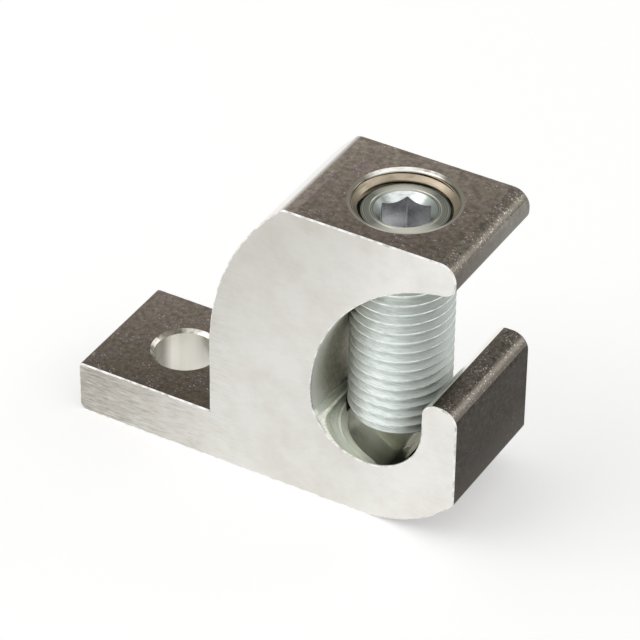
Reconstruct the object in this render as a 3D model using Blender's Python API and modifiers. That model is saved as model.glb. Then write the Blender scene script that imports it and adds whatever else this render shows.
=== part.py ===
"""Lay-in ground clamp: an aluminium lug body and its socket set screw.

The body is one length sawn from an aluminium extrusion. It has a flat foot with a
bolt hole, a saddle that is open on one side so that a wire can be laid in, and a
thick plate over the saddle. A socket set screw with a real helical thread runs
down through the plate and presses the wire into the saddle.

+X runs along the foot towards the open side, +Y is the way the extrusion runs and
+Z is up. The origin is the middle of the footprint, on the surface that the foot
stands on. Run it with: blender --background --python part.py
"""

import math

import bmesh
import bpy
from mathutils import Matrix, Vector

MM = 0.001
PART_NAME = "ground_clamp"

# Body, along the foot
SAWN_WIDTH = 20.2 * MM
SAWN_EDGE_BREAK = 0.2 * MM
FOOT_LENGTH = 20.75 * MM
FOOT_THICKNESS = 7.7 * MM
FOOT_CORNER_RADIUS = 1.1 * MM
FOOT_TOP_RADIUS = 0.5 * MM
BOLT_HOLE_DIAMETER = 8.7 * MM
BOLT_HOLE_CHAMFER = 0.5 * MM
BOLT_HOLE_FROM_END = 10.8 * MM

# Body, round the wire
BACK_WALL = 15.55 * MM
SADDLE_RADIUS = 8.25 * MM
SADDLE_FLOOR = 8.6 * MM
LIP_THICKNESS = 5.1 * MM
LIP_ABOVE_SADDLE_CENTRE = 4.8 * MM
LIP_INNER_RADIUS = 2.0 * MM
LIP_OUTER_RADIUS = 2.4 * MM
BELLY_RADIUS = 18.0 * MM
TOE_HEIGHT = 6.65 * MM
TOE_RADIUS = 1.0 * MM

# Body, plate over the wire
THROAT_STRAIGHT = 0.45 * MM
ARCH_RADIUS = 22.35 * MM
PLATE_THICKNESS = 4.65 * MM
PLATE_SETBACK = 0.9 * MM
PLATE_TOP_RADIUS = 2.4 * MM
PLATE_UNDER_RADIUS = 2.0 * MM
SHOULDER_RADIUS = 34.6 * MM
SHOULDER_DROP = 25.2 * MM

# Set screw
SCREW_DIAMETER = 14.0 * MM
SCREW_RECESS = 1.4 * MM
SCREW_TIP_ABOVE_FLOOR = 2.5 * MM
SCREW_FROM_SADDLE_CENTRE = -0.35 * MM
SCREW_TOP_CHAMFER = 1.2 * MM
SCREW_TIP_CHAMFER = 0.9 * MM
THREAD_PITCH = 1.5 * MM
THREAD_DEPTH = 0.92 * MM
THREAD_CREST = 0.19 * MM
THREAD_FLANK_ANGLE = math.radians(30.0)
FIRST_CREST_ABOVE_TIP = 0.7 * MM
SOCKET_ACROSS_FLATS = 6.35 * MM
SOCKET_DEPTH = 6.5 * MM
SOCKET_MOUTH_DIAMETER = 7.9 * MM
SOCKET_CORNER_ANGLE = math.radians(55.0)
SOCKET_POINT_ANGLE = math.radians(59.0)
SOCKET_LEDGE = 0.05 * MM

# Fits
BORE_CLEARANCE = 0.3 * MM
COUNTERSINK_DIAMETER = 15.2 * MM
TIP_CLEARANCE = 0.4 * MM

# Fineness of the curved faces
ARC_STEP = math.radians(4.0)
TURNED_STEPS = 36
CUTTER_OVERRUN = 2.0 * MM
WELD = 0.00001

# Places worked out from the sizes above, measured from the foot's free end
SADDLE_X = FOOT_LENGTH + BACK_WALL + SADDLE_RADIUS
SADDLE_Z = SADDLE_FLOOR + SADDLE_RADIUS
LIP_INNER_X = SADDLE_X + SADDLE_RADIUS
LIP_OUTER_X = LIP_INNER_X + LIP_THICKNESS
LIP_TOP_Z = SADDLE_Z + LIP_ABOVE_SADDLE_CENTRE
ARCH_X = FOOT_LENGTH + BACK_WALL + ARCH_RADIUS
ARCH_Z = SADDLE_Z + THROAT_STRAIGHT
PLATE_END_X = LIP_OUTER_X - PLATE_SETBACK
BODY_HEIGHT = ARCH_Z + ARCH_RADIUS + PLATE_THICKNESS
SCREW_X = SADDLE_X + SCREW_FROM_SADDLE_CENTRE
SCREW_TOP_Z = BODY_HEIGHT - SCREW_RECESS
SCREW_TIP_Z = SADDLE_FLOOR + SCREW_TIP_ABOVE_FLOOR
SCREW_LENGTH = SCREW_TOP_Z - SCREW_TIP_Z
ORIGIN_X = LIP_OUTER_X / 2


def clear_scene() -> None:
    """Removes whatever objects the opened file holds."""
    for old in list(bpy.data.objects):
        bpy.data.objects.remove(old, do_unlink=True)


def make_collection(name: str) -> bpy.types.Collection:
    """Adds a collection under the scene's own."""
    collection = bpy.data.collections.new(name)
    bpy.context.scene.collection.children.link(collection)
    return collection


def metal(name: str, colour: tuple, roughness: float) -> bpy.types.Material:
    """A plain metallic Principled material."""
    material = bpy.data.materials.new(name)
    material.use_nodes = True
    shader = material.node_tree.nodes["Principled BSDF"]
    shader.inputs["Base Color"].default_value = (*colour, 1.0)
    shader.inputs["Metallic"].default_value = 1.0
    shader.inputs["Roughness"].default_value = roughness
    material.diffuse_color = (*colour, 1.0)
    return material


def arc(centre: tuple, radius: float, start: float, end: float) -> list:
    """Points along an arc, both ends included; angles in radians from +X."""
    steps = max(2, math.ceil(abs(end - start) / ARC_STEP))
    points = []
    for i in range(steps + 1):
        angle = start + (end - start) * i / steps
        points.append((centre[0] + radius * math.cos(angle), centre[1] + radius * math.sin(angle)))
    return points


def fitted_radii(first: float, second: float, wall: float) -> tuple:
    """Two roundings that share one wall, made smaller where the wall is too thin for both."""
    share = min(1.0, 0.96 * wall / (first + second))
    return first * share, second * share


def belly_and_toe() -> list:
    """The underside's curve up to the lip's outer face, with the rounded toe between them."""
    reach = math.sqrt(BELLY_RADIUS ** 2 - (BELLY_RADIUS - TOE_HEIGHT) ** 2)
    belly = (LIP_OUTER_X - reach, BELLY_RADIUS)
    toe_x = LIP_OUTER_X - TOE_RADIUS
    toe_z = belly[1] - math.sqrt((BELLY_RADIUS - TOE_RADIUS) ** 2 - (toe_x - belly[0]) ** 2)
    meet = math.atan2(toe_z - belly[1], toe_x - belly[0])
    return arc(belly, BELLY_RADIUS, -math.pi / 2, meet) + arc((toe_x, toe_z), TOE_RADIUS, meet, 0.0)[1:]


def lip_top() -> list:
    """The lip's rounded top, from its outer face to its inner face."""
    outer, inner = fitted_radii(LIP_OUTER_RADIUS, LIP_INNER_RADIUS, LIP_THICKNESS)
    outer_centre = (LIP_OUTER_X - outer, LIP_TOP_Z - outer)
    inner_centre = (LIP_INNER_X + inner, LIP_TOP_Z - inner)
    return arc(outer_centre, outer, 0.0, math.pi / 2) + arc(inner_centre, inner, math.pi / 2, math.pi)


def saddle_and_arch() -> list:
    """The wire's seat, the short straight throat and the arch under the plate."""
    top, under = fitted_radii(PLATE_TOP_RADIUS, PLATE_UNDER_RADIUS, PLATE_THICKNESS)
    under_x = PLATE_END_X - under
    under_z = ARCH_Z + math.sqrt((ARCH_RADIUS + under) ** 2 - (ARCH_X - under_x) ** 2)
    meet = math.atan2(under_z - ARCH_Z, under_x - ARCH_X)
    saddle = arc((SADDLE_X, SADDLE_Z), SADDLE_RADIUS, 0.0, -math.pi)
    arch = arc((ARCH_X, ARCH_Z), ARCH_RADIUS, math.pi, meet)
    under_corner = arc((under_x, under_z), under, meet - math.pi, 0.0)[1:]
    top_corner = arc((PLATE_END_X - top, BODY_HEIGHT - top), top, 0.0, math.pi / 2)
    return saddle + arch + under_corner + top_corner


def shoulder() -> list:
    """The rounded back of the body, from the plate's top down to the foot."""
    spring_z = BODY_HEIGHT - SHOULDER_DROP
    centre = (FOOT_LENGTH + SHOULDER_RADIUS, spring_z)
    crest = math.pi - math.asin(SHOULDER_DROP / SHOULDER_RADIUS)
    return arc(centre, SHOULDER_RADIUS, crest, math.pi)


def body_outline() -> list:
    """The extrusion's section as X, Z points, anticlockwise from the foot's lower corner."""
    corner = (FOOT_CORNER_RADIUS, FOOT_CORNER_RADIUS)
    outline = arc(corner, FOOT_CORNER_RADIUS, math.pi, 1.5 * math.pi)
    outline += belly_and_toe()
    outline += lip_top()
    outline += saddle_and_arch()
    outline += shoulder()
    outline.append((FOOT_LENGTH, FOOT_THICKNESS))
    top_corner = (FOOT_TOP_RADIUS, FOOT_THICKNESS - FOOT_TOP_RADIUS)
    outline += arc(top_corner, FOOT_TOP_RADIUS, math.pi / 2, math.pi)
    return outline


def extrude_outline(name: str, outline: list, width: float) -> bpy.types.Object:
    """Extrudes an X, Z outline along Y, centred on Y = 0, and gives a closed mesh."""
    curve = bpy.data.curves.new(name + "_outline", "CURVE")
    curve.dimensions = "2D"
    curve.fill_mode = "BOTH"
    curve.extrude = width / 2
    spline = curve.splines.new("POLY")
    spline.points.add(len(outline) - 1)
    for point, (x, z) in zip(spline.points, outline):
        point.co = (x - ORIGIN_X, z, 0.0, 1.0)
    spline.use_cyclic_u = True
    guide = bpy.data.objects.new(name + "_outline", curve)
    guide.rotation_euler = (math.pi / 2, 0.0, 0.0)
    bpy.context.scene.collection.objects.link(guide)
    bpy.context.view_layer.update()
    evaluated = guide.evaluated_get(bpy.context.evaluated_depsgraph_get())
    mesh = bpy.data.meshes.new_from_object(evaluated)
    placed = guide.matrix_world.copy()
    bpy.data.objects.remove(guide, do_unlink=True)
    tidy_mesh(mesh)
    mesh.name = name
    solid = bpy.data.objects.new(name, mesh)
    solid.matrix_world = placed
    return solid


def tidy_mesh(mesh: bpy.types.Mesh) -> None:
    """Welds loose caps, joins the faces of each flat cap into one and points all faces out."""
    work = bmesh.new()
    work.from_mesh(mesh)
    bmesh.ops.remove_doubles(work, verts=work.verts, dist=WELD)
    bmesh.ops.dissolve_limit(work, angle_limit=math.radians(0.1), verts=work.verts, edges=work.edges)
    bmesh.ops.recalc_face_normals(work, faces=work.faces)
    work.to_mesh(mesh)
    work.free()


def turned(name: str, profile: list, collection: bpy.types.Collection, place: Vector) -> bpy.types.Object:
    """A solid of revolution from radius, height points that run down its outer side."""
    mesh = bpy.data.meshes.new(name)
    mesh.from_pydata([(r, 0.0, z) for r, z in profile], [(i, i + 1) for i in range(len(profile) - 1)], [])
    solid = bpy.data.objects.new(name, mesh)
    solid.location = place
    collection.objects.link(solid)
    screw = solid.modifiers.new("Turn", "SCREW")
    screw.axis = "Z"
    screw.steps = TURNED_STEPS
    screw.render_steps = TURNED_STEPS
    screw.use_merge_vertices = True
    screw.merge_threshold = WELD
    screw.use_smooth_shade = True
    return solid


def shade(solid: bpy.types.Object) -> None:
    """Shades the round faces smooth and keeps the flat ones flat."""
    solid.data.shade_smooth()
    weighted = solid.modifiers.new("Flat faces stay flat", "WEIGHTED_NORMAL")
    weighted.keep_sharp = True


def cut(solid: bpy.types.Object, cutter: bpy.types.Object, operation: str = "DIFFERENCE") -> None:
    """Subtracts a cutter from a solid, or trims the solid to it, with a live Boolean."""
    boolean = solid.modifiers.new("Cut " + cutter.name, "BOOLEAN")
    boolean.operation = operation
    boolean.solver = "EXACT"
    boolean.object = cutter


def hide_cutter(cutter: bpy.types.Object) -> None:
    """Shows a cutter as wire only and keeps it out of renders."""
    cutter.display_type = "WIRE"
    cutter.hide_render = True


def bore_cutter(cutters: bpy.types.Collection) -> bpy.types.Object:
    """The screw's way down: countersink, bore through the plate and relief in the saddle's sides.

    The relief leaves the tip its clearance at its lowest place, just over the saddle's floor.
    """
    bore = SCREW_DIAMETER / 2 + BORE_CLEARANCE
    countersink = max(COUNTERSINK_DIAMETER / 2, bore + WELD)
    flare = countersink + CUTTER_OVERRUN
    bottom = SCREW_TIP_Z - TIP_CLEARANCE
    profile = [
        (0.0, BODY_HEIGHT + CUTTER_OVERRUN),
        (flare, BODY_HEIGHT + CUTTER_OVERRUN),
        (bore, BODY_HEIGHT - (countersink - bore)),
        (bore, bottom),
        (0.0, bottom),
    ]
    cutter = turned("screw_bore_cutter", profile, cutters, Vector((SCREW_X - ORIGIN_X, 0.0, 0.0)))
    hide_cutter(cutter)
    return cutter


def bolt_hole_cutter(cutters: bpy.types.Collection) -> bpy.types.Object:
    """The bolt hole through the foot, with a small chamfer at each face."""
    hole = BOLT_HOLE_DIAMETER / 2
    rim = hole + BOLT_HOLE_CHAMFER
    profile = [
        (0.0, FOOT_THICKNESS + CUTTER_OVERRUN),
        (rim + CUTTER_OVERRUN, FOOT_THICKNESS + CUTTER_OVERRUN),
        (hole, FOOT_THICKNESS - BOLT_HOLE_CHAMFER),
        (hole, BOLT_HOLE_CHAMFER),
        (rim + CUTTER_OVERRUN, -CUTTER_OVERRUN),
        (0.0, -CUTTER_OVERRUN),
    ]
    cutter = turned("bolt_hole_cutter", profile, cutters, Vector((BOLT_HOLE_FROM_END - ORIGIN_X, 0.0, 0.0)))
    hide_cutter(cutter)
    return cutter


def build_body(parts: bpy.types.Collection, cutters: bpy.types.Collection) -> bpy.types.Object:
    """The lug body: the sawn extrusion with its screw bore and bolt hole."""
    body = extrude_outline("lug_body", body_outline(), SAWN_WIDTH)
    parts.objects.link(body)
    bevel = body.modifiers.new("Broken sawn edges", "BEVEL")
    bevel.width = SAWN_EDGE_BREAK
    bevel.segments = 1
    bevel.limit_method = "ANGLE"
    bevel.angle_limit = math.radians(60.0)
    cut(body, bore_cutter(cutters))
    cut(body, bolt_hole_cutter(cutters))
    body.data.materials.append(metal("tin_plated_aluminium", (0.72, 0.70, 0.66), 0.42))
    shade(body)
    return body


def thread_profile() -> list:
    """One pitch of the thread as radius, height points: crest, flank, root and flank, going down."""
    crest = SCREW_DIAMETER / 2
    drop = THREAD_DEPTH * math.tan(THREAD_FLANK_ANGLE)
    low_flank = min(THREAD_CREST + drop, (THREAD_PITCH + THREAD_CREST) / 2 - WELD)
    return [
        (crest, 0.0),
        (crest, -THREAD_CREST),
        (crest - THREAD_DEPTH, -low_flank),
        (crest - THREAD_DEPTH, low_flank - THREAD_CREST - THREAD_PITCH),
        (crest, -THREAD_PITCH),
    ]


def threaded_rod(name: str) -> bpy.types.Mesh:
    """A right-handed threaded rod, longer than the screw by some turns at each end."""
    turns = math.ceil(SCREW_LENGTH / THREAD_PITCH) + 5
    start = FIRST_CREST_ABOVE_TIP + THREAD_CREST / 2 - SCREW_LENGTH - 2 * THREAD_PITCH
    profile = thread_profile()
    mesh = bpy.data.meshes.new(name + "_thread")
    edges = [(i, i + 1) for i in range(len(profile) - 1)]
    mesh.from_pydata([(r, 0.0, start + z) for r, z in profile], edges, [])
    guide = bpy.data.objects.new(name + "_thread", mesh)
    bpy.context.scene.collection.objects.link(guide)
    helix = guide.modifiers.new("Helix", "SCREW")
    helix.axis = "Z"
    helix.screw_offset = THREAD_PITCH
    helix.iterations = turns
    helix.steps = TURNED_STEPS
    helix.render_steps = TURNED_STEPS
    helix.use_smooth_shade = True
    bpy.context.view_layer.update()
    evaluated = guide.evaluated_get(bpy.context.evaluated_depsgraph_get())
    rod = bpy.data.meshes.new_from_object(evaluated)
    bpy.data.objects.remove(guide, do_unlink=True)
    close_rod(rod)
    rod.name = name
    return rod


def close_rod(mesh: bpy.types.Mesh) -> None:
    """Welds each turn to the next and closes both helical ends with a fan of faces."""
    work = bmesh.new()
    work.from_mesh(mesh)
    bmesh.ops.remove_doubles(work, verts=work.verts, dist=WELD)
    open_edges = [edge for edge in work.edges if edge.is_boundary]
    ends = bmesh.ops.holes_fill(work, edges=open_edges, sides=0)
    bmesh.ops.poke(work, faces=ends["faces"])
    bmesh.ops.recalc_face_normals(work, faces=work.faces)
    work.to_mesh(mesh)
    work.free()


def blank_cutter(cutters: bpy.types.Collection, place: Vector) -> bpy.types.Object:
    """The turned shape that the threaded rod is trimmed to, with a chamfer at each end."""
    radius = SCREW_DIAMETER / 2
    outside = radius / math.cos(math.pi / TURNED_STEPS) + WELD
    profile = [
        (0.0, 0.0),
        (radius - SCREW_TOP_CHAMFER, 0.0),
        (outside, radius - SCREW_TOP_CHAMFER - outside),
        (outside, SCREW_TIP_CHAMFER + outside - radius - SCREW_LENGTH),
        (radius - SCREW_TIP_CHAMFER, -SCREW_LENGTH),
        (0.0, -SCREW_LENGTH),
    ]
    cutter = turned("screw_blank_cutter", profile, cutters, place)
    # Half a step of turn keeps its edges between those of the thread
    cutter.rotation_euler.z = math.pi / TURNED_STEPS
    hide_cutter(cutter)
    return cutter


def cone(work: bmesh.types.BMesh, sides: int, low: tuple, high: tuple, corner: float) -> None:
    """Adds a capped cone or prism, given as radius, height at each end and one corner's angle."""
    height = high[1] - low[1]
    # The primitive's first corner lies on +Y
    turn = Matrix.Rotation(corner - math.pi / 2, 4, "Z")
    matrix = Matrix.Translation((0.0, 0.0, (low[1] + high[1]) / 2)) @ turn
    bmesh.ops.create_cone(
        work, cap_ends=True, cap_tris=False, segments=sides,
        radius1=low[0], radius2=high[0], depth=height, matrix=matrix,
    )


def socket_cutters(cutters: bpy.types.Collection, place: Vector) -> list:
    """The hexagonal socket with its drilled point, and the cone that opens its mouth."""
    corner = SOCKET_ACROSS_FLATS / 2 / math.cos(math.radians(30.0))
    drilled = SOCKET_ACROSS_FLATS / 2 - SOCKET_LEDGE
    point = SOCKET_DEPTH + drilled / math.tan(SOCKET_POINT_ANGLE) - SOCKET_LEDGE
    mouth = SOCKET_MOUTH_DIAMETER / 2
    shapes = {
        "socket_hexagon_cutter": (6, (corner, -SOCKET_DEPTH), (corner, CUTTER_OVERRUN)),
        "socket_point_cutter": (TURNED_STEPS, (0.0, -point), (drilled, SOCKET_LEDGE - SOCKET_DEPTH)),
        "socket_mouth_cutter": (TURNED_STEPS, (0.0, -mouth), (mouth + CUTTER_OVERRUN, CUTTER_OVERRUN)),
    }
    made = []
    for name, (sides, low, high) in shapes.items():
        work = bmesh.new()
        cone(work, sides, low, high, SOCKET_CORNER_ANGLE)
        mesh = bpy.data.meshes.new(name)
        work.to_mesh(mesh)
        work.free()
        cutter = bpy.data.objects.new(name, mesh)
        cutter.location = place
        cutters.objects.link(cutter)
        hide_cutter(cutter)
        made.append(cutter)
    return made


def build_screw(parts: bpy.types.Collection, cutters: bpy.types.Collection) -> bpy.types.Object:
    """The set screw: a threaded rod trimmed to length, with its socket; its origin is on its axis."""
    place = Vector((SCREW_X - ORIGIN_X, 0.0, SCREW_TOP_Z))
    screw = bpy.data.objects.new("set_screw", threaded_rod("set_screw"))
    screw.location = place
    parts.objects.link(screw)
    cut(screw, blank_cutter(cutters, place), "INTERSECT")
    for cutter in socket_cutters(cutters, place):
        cut(screw, cutter)
    screw.data.materials.append(metal("zinc_plated_steel", (0.66, 0.69, 0.70), 0.3))
    shade(screw)
    return screw


def main() -> None:
    """Builds the clamp in an emptied scene."""
    clear_scene()
    parts = make_collection(PART_NAME)
    cutters = make_collection(PART_NAME + "_cutters")
    build_body(parts, cutters)
    build_screw(parts, cutters)


main()
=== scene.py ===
"""Looks of the lay-in ground clamp: the sawn and plated lug body and its set screw.

Both pieces are modelled here at full fineness, in metres, in the frame of the CAD
model. The lug body replaces the CAD's plain body and the set screw its coarse screw,
and each rides on the body that it belongs to, so the screw still travels in the plate.
"""

from __future__ import annotations

import logging
import math
from dataclasses import dataclass, field
from enum import Enum
from typing import Any, Callable

import bmesh
import bpy
from mathutils import Matrix, Vector, noise


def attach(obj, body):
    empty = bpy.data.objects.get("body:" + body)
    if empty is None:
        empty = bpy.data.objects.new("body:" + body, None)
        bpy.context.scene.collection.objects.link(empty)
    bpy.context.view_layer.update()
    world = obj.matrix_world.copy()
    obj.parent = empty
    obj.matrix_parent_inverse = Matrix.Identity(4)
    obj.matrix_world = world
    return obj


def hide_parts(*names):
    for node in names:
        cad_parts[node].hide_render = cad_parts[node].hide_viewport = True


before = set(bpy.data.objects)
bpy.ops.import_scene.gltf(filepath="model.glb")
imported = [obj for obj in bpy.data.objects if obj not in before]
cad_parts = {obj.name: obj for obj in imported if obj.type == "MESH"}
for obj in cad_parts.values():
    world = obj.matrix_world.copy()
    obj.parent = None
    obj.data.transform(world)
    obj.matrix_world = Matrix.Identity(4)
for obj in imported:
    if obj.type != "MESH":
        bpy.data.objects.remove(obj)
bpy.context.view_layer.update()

MM = 0.001
WELD = 0.002 * MM
OVER = 1.0 * MM  # How far a cutting tool reaches past the metal
ARC_STEP = math.radians(2.0)
SMALL_ARC_STEP = math.radians(9.0)
# The Mix node has several sockets of one name, so the ones for colours go by number
MIX_SHARE, MIX_UNDER, MIX_OVER, MIX_RESULT = 0, 6, 7, 2
LOG = logging.getLogger("ground_clamp")

Tree = bpy.types.NodeTree
Node = bpy.types.Node
Socket = bpy.types.NodeSocket
Mesh = bpy.types.Mesh
Piece = bpy.types.Object
Point = tuple[float, float]
Span = tuple[float, float]
Direction = tuple[float, float, float]
Colour = tuple[float, float, float, float]


def linear(hex_colour: str) -> Colour:
    """Turns an sRGB hex colour into the linear colour that a shader takes.

    Args:
        hex_colour: Six hex digits with a leading hash.

    Returns:
        Linear red, green, blue and an alpha of one.
    """
    parts = [int(hex_colour[i:i + 2], 16) / 255 for i in (1, 3, 5)]
    red, green, blue = (p / 12.92 if p <= 0.04045 else ((p + 0.055) / 1.055) ** 2.4 for p in parts)
    return red, green, blue, 1.0


def per(size_mm: float) -> float:
    """Texture scale at which one cell of a pattern measures size_mm, in metre coordinates."""
    return 1.0 / (size_mm * MM)


def add_node(tree: Tree, kind: str, inputs: dict[Any, Any], **settings: Any) -> Node:
    """Adds one node with its settings, values and links.

    Args:
        tree: The node tree that takes the node.
        kind: Blender's name for the node's type.
        inputs: Value, or output socket to link from, for each input by name or number.
        **settings: Properties of the node itself.

    Returns:
        The new node.
    """
    node = tree.nodes.new(kind)
    for name, value in settings.items():
        setattr(node, name, value)
    for key, value in inputs.items():
        if isinstance(value, Socket):
            tree.links.new(value, node.inputs[key])
        else:
            node.inputs[key].default_value = value
    return node


class Finish(Enum):
    """The surfaces that the clamp's pieces show, by how each was made and, for some, by the light
    or shade painted on them.
    """

    SAWN = "sawn_tin_plate"
    DEBURRED = "deburred_sawn_edge"
    SKIN = "extruded_tin_plated_skin"
    PLATE_RIDGE_GLINTS = "plate_ridge_with_painted_glints"
    LIP_RIDGE = "lip_ridge_with_painted_glints"
    SHOULDER = "shoulder_with_painted_highlight"
    BACK = "skin_below_shoulder_highlight"
    PLATE_END = "plate_end_with_painted_reflection"
    LIP_FACE = "lip_face_with_painted_shade"
    ARCH = "dull_skin_under_plate"
    LIP_INSIDE = "burnished_lip_round"
    SADDLE = "burnished_saddle"
    DRILLED = "countersunk_tin_plate"
    RIM = "hammered_countersink_rim"
    BORED = "drilled_bolt_hole"
    FILED = "hand_broken_hole_edge"
    TAPPED = "tapped_tin_plate"
    ZINC = "bright_zinc_plate"
    CREST = "rubbed_thread_crest_with_painted_highlight"
    MOUTH = "zinc_plated_socket_mouth"
    FACED = "zinc_plated_turned_end"
    GROOVE = "zinc_plated_face_groove"
    CHAMFER = "zinc_plated_end_chamfer"
    TIP = "zinc_plated_turned_tip"
    SOCKET = "zinc_plate_deep_in_socket"


ALONG_FOOT = (1.0, 0.0, 0.0)
ALONG_EXTRUSION = (0.0, 1.0, 0.0)
UPWARD = (0.0, 0.0, 1.0)
TO_BACK_CORNER = (-0.49, 0.87, 0.0)
TO_TOP_BACK_CORNER = (-0.42, 0.8, 0.6)
TO_SHOULDER = (-0.7, 0.0, 0.7)
LEVEL = (1.0, 1.0, 0.0)
SCREW_AXIS_MM = (15.25, 0.0, 0.0)


@dataclass(frozen=True)
class Fade:
    """A tone that takes over between two places along a direction."""

    start_mm: float
    end_mm: float
    colour: str
    along: Direction = ALONG_FOOT
    share: float = 1.0
    blend: str = "MIX"


@dataclass(frozen=True)
class MetalFinish:
    """One plated metal surface, with the parts that all of them share."""

    colour: str
    roughness: float
    edge: float = field(default=1.0, kw_only=True)
    fade: Fade | None = field(default=None, kw_only=True)

    def material(self, name: str) -> bpy.types.Material:
        """Makes the finish's material.

        Args:
            name: The material's name.

        Returns:
            A new material with a metallic shader and this finish's pattern.
        """
        material = bpy.data.materials.new(name)
        material.use_nodes = True
        tree = material.node_tree
        shader = tree.nodes["Principled BSDF"]
        shader.inputs["Metallic"].default_value = 1.0
        shader.inputs["Base Color"].default_value = linear(self.colour)
        shader.inputs["Roughness"].default_value = self.roughness
        shader.inputs["Specular Tint"].default_value = (self.edge, self.edge, self.edge, 1.0)
        place = add_node(tree, "ShaderNodeTexCoord", {}).outputs["Object"]
        self.pattern(tree, shader, place)
        return material

    def pattern(self, tree: Tree, shader: Node, place: Socket) -> None:
        """Adds nothing: a finish with a pattern has its own version.

        Args:
            tree: The material's nodes.
            shader: Its Principled shader.
            place: Coordinates in metres.
        """

    def grain(self, tree: Tree, place: Socket, size_mm: Direction, detail: float) -> Socket:
        """Noise whose cells have a real size along X, Y and Z.

        Args:
            tree: The material's nodes.
            place: Coordinates in metres.
            size_mm: Size of a cell along X, Y and Z in millimetres.
            detail: Octaves of finer noise.

        Returns:
            The noise value, about 0.5 on average.
        """
        scale = [per(size) for size in size_mm]
        scaled = add_node(tree, "ShaderNodeMapping", {"Vector": place, "Scale": scale})
        cells = add_node(
            tree, "ShaderNodeTexNoise",
            {"Vector": scaled.outputs["Vector"], "Scale": 1.0, "Detail": detail, "Roughness": 0.6},
        )
        return cells.outputs["Fac"]

    def toned(
        self, tree: Tree, value: Socket, span: Span, under: str | Socket,
        over: str | Socket, share: float = 1.0, blend: str = "MIX",
    ) -> Socket:
        """Lays one tone over another where a value is high.

        Args:
            tree: The material's nodes.
            value: What decides where the second tone shows.
            span: Value at which it starts to show, and at which it shows most.
            under: The first tone, as hex text or a socket.
            over: The second tone.
            share: How much of the second tone shows at most.
            blend: MIX to cover the first tone, MULTIPLY to darken it.

        Returns:
            The colour of the two together.
        """
        cover = add_node(
            tree, "ShaderNodeMapRange",
            {"Value": value, "From Min": span[0], "From Max": span[1], "To Max": share},
        )
        tones = [linear(tone) if isinstance(tone, str) else tone for tone in (under, over)]
        mixed = add_node(
            tree, "ShaderNodeMix",
            {MIX_SHARE: cover.outputs["Result"], MIX_UNDER: tones[0], MIX_OVER: tones[1]},
            data_type="RGBA", blend_type=blend,
        )
        return mixed.outputs[MIX_RESULT]

    def faded(self, tree: Tree, place: Socket, tone: Socket, fade: Fade | None) -> Socket:
        """Lets a fade's tone take over where it says.

        Args:
            tree: The material's nodes.
            place: Coordinates in metres.
            tone: The colour before the fade.
            fade: The fade, or None for a finish without one.

        Returns:
            The colour after it.
        """
        if fade is None:
            return tone
        reach = add_node(
            tree, "ShaderNodeVectorMath", {0: place, 1: fade.along}, operation="DOT_PRODUCT",
        ).outputs["Value"]
        span = (fade.start_mm * MM, fade.end_mm * MM)
        return self.toned(tree, reach, span, tone, fade.colour, fade.share, fade.blend)

    def glare(self, tree: Tree, place: Socket) -> Socket:
        """How nearly a place lies towards or away from the back corner: the line of the painted
        bow-tie of glare.

        Args:
            tree: The material's nodes.
            place: Coordinates in metres.

        Returns:
            One on the bow tie's middle line, nought square to it.
        """
        axis = [mm * MM for mm in SCREW_AXIS_MM]
        way = place
        for operation, inputs in (
            ("SUBTRACT", {1: axis}), ("MULTIPLY", {1: LEVEL}), ("NORMALIZE", {}),
        ):
            step = add_node(tree, "ShaderNodeVectorMath", {0: way, **inputs}, operation=operation)
            way = step.outputs["Vector"]
        turn = add_node(
            tree, "ShaderNodeVectorMath", {0: way, 1: TO_BACK_CORNER}, operation="DOT_PRODUCT",
        ).outputs["Value"]
        return add_node(tree, "ShaderNodeMath", {0: turn}, operation="ABSOLUTE").outputs[0]


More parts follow.
